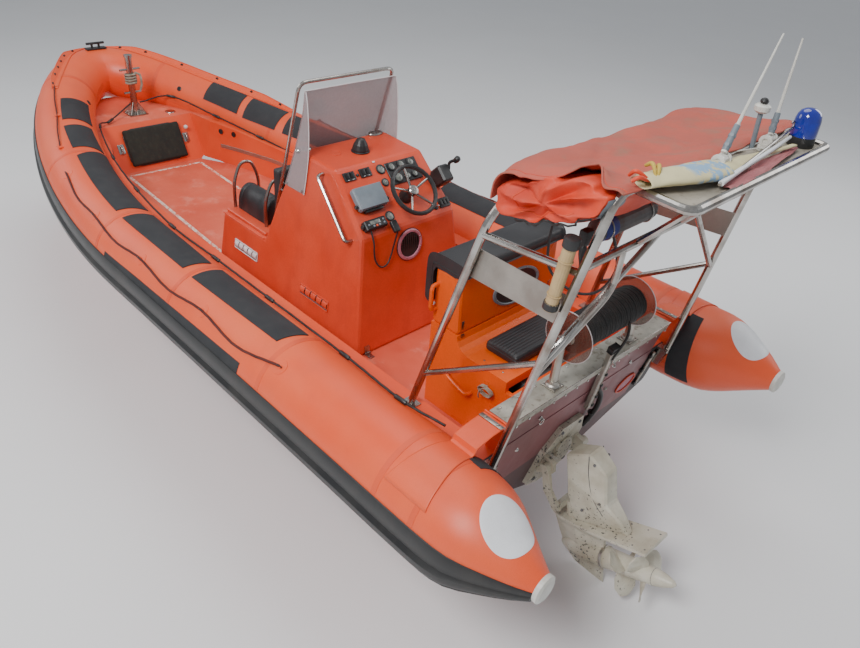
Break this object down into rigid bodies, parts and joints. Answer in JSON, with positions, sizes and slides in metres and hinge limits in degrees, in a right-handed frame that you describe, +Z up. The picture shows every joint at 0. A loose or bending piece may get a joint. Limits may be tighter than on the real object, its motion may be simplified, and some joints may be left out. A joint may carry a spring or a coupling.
{
  "type": "rigid inflatable boat",
  "caption": "Rigid inflatable boat with a V hull, orange tube collar, steering console, helm bench, stern arch, tow reel and a stern drive with paired propellers.",
  "frame": {"origin": "on the centre plane at the waterline, 2.8 m ahead of the transom's top edge", "axes": "+X to starboard, +Y to the bow, +Z up"},
  "size_m": [2.909, 7.4151, 3.2747],
  "materials": {
    "orange_hull": "worn gel coat",
    "tube_fabric": "matt coated fabric",
    "cover_fabric": "faded",
    "black_rubber": "satin",
    "steel": "brushed",
    "black_vinyl": "matt",
    "black_plastic": "matt",
    "grey_plastic": "matt",
    "white_plastic": "gloss",
    "clear_sheet": "clear",
    "blue_lens": "gloss",
    "tan_tube": "matt",
    "rope_drum": "matt",
    "engine_block": "painted",
    "drive_white": "worn paint"
  },
  "bodies": {
    "hull": {"hull": "orange_hull", "buoyancy_tube": "tube_fabric", "rubbing_strake": "black_rubber", "tail_cap_port": "grey_plastic", "tail_cap_starboard": "grey_plastic", "transom_capping": "steel", "console": "orange_hull", "forward_backrest": "black_vinyl", "windscreen": "clear_sheet", "windscreen_frame": "steel", "compass": "black_plastic", "chartplotter": "grey_plastic", "radio": "black_plastic", "gauge_cluster": "black_plastic", "throttle_control": "black_plastic", "steering_column": "black_plastic", "console_rail": "steel", "engine_box": "orange_hull", "engine": "engine_block", "aft_cushion": "black_vinyl", "arch": "steel", "arch_platform": "steel", "arch_plate_port": "steel", "arch_plate_starboard": "steel", "weather_cover": "cover_fabric", "righting_bag": "tube_fabric", "gas_cylinder": "black_plastic", "beacon": "blue_lens", "antenna_port_mount": "white_plastic", "antenna_starboard_mount": "white_plastic", "gps_mast": "grey_plastic", "reel_stand": "steel", "flare_tube": "tan_tube", "bow_post": "steel", "bow_cleat": "black_plastic", "drive_shield": "drive_white"},
    "forward_seat": {"forward_seat_lid": "orange_hull", "forward_cushion": "black_vinyl", "seat_hoop_forward": "steel", "seat_hoop_aft": "steel"},
    "helm_seat": {"helm_bench": "orange_hull", "helm_cushion": "black_vinyl"},
    "wheel": {"steering_wheel": "black_plastic"},
    "reel": {"tow_reel": "rope_drum"},
    "locker_cover": {"bow_locker_cover": "black_vinyl"},
    "whip_port": {"antenna_port": "white_plastic"},
    "whip_starboard": {"antenna_starboard": "white_plastic"},
    "fork": {"drive_fork": "drive_white"},
    "leg": {"drive_leg": "drive_white"},
    "front_propeller": {"propeller_front": "drive_white"},
    "rear_propeller": {"propeller_rear": "drive_white"}
  },
  "joints": [
    {"name": "seat_lid_hinge", "type": "hinge", "parent": "hull", "child": "forward_seat", "pos_m": [0, 0.335, 0.5055], "axis": [-1, 0, 0], "range_deg": [0, 80]},
    {"name": "helm_seat_hinge", "type": "hinge", "parent": "hull", "child": "helm_seat", "pos_m": [0, -1.915, 0.6805], "axis": [-1, 0, 0], "range_deg": [0, 60]},
    {"name": "wheel_turn", "type": "hinge", "parent": "hull", "child": "wheel", "pos_m": [0.06, -1.19663, 1.11794], "axis": [0, 0.7125, -0.7017], "range_deg": [-440, 440]},
    {"name": "reel_spin", "type": "hinge", "parent": "hull", "child": "reel", "pos_m": [0.02, -2.74, 0.95], "axis": [1, 0, 0], "continuous": true},
    {"name": "locker_cover_hinge", "type": "hinge", "parent": "hull", "child": "locker_cover", "pos_m": [0, 2.48799, 0.46707], "axis": [-1, 0, 0], "range_deg": [0, 85]},
    {"name": "whip_port_fold", "type": "hinge", "parent": "hull", "child": "whip_port", "pos_m": [-0.158, -3.185, 2.02], "axis": [1, 0, 0], "range_deg": [0, 90]},
    {"name": "whip_starboard_fold", "type": "hinge", "parent": "hull", "child": "whip_starboard", "pos_m": [0.278, -3.185, 2.02], "axis": [1, 0, 0], "range_deg": [0, 90]},
    {"name": "drive_tilt", "type": "hinge", "parent": "hull", "child": "fork", "pos_m": [0, -2.72285, -0.04], "axis": [-1, 0, 0], "range_deg": [-24, 24]},
    {"name": "drive_steer", "type": "hinge", "parent": "fork", "child": "leg", "pos_m": [0, -2.86323, -0.37167], "axis": [0, 0.3584, 0.9336], "range_deg": [-22, 22]},
    {"name": "front_spin", "type": "hinge", "parent": "leg", "child": "front_propeller", "pos_m": [0, -3.25979, -0.53971], "axis": [0, 0.9336, -0.3584], "continuous": true},
    {"name": "rear_spin", "type": "hinge", "parent": "leg", "child": "rear_propeller", "pos_m": [0, -3.40917, -0.48238], "axis": [0, 0.9336, -0.3584], "continuous": true}
  ],
  "couplings": [
    {"joint": "wheel_turn", "follows": "drive_steer", "ratio": -20},
    {"joint": "rear_spin", "follows": "front_spin", "ratio": -1}
  ]
}
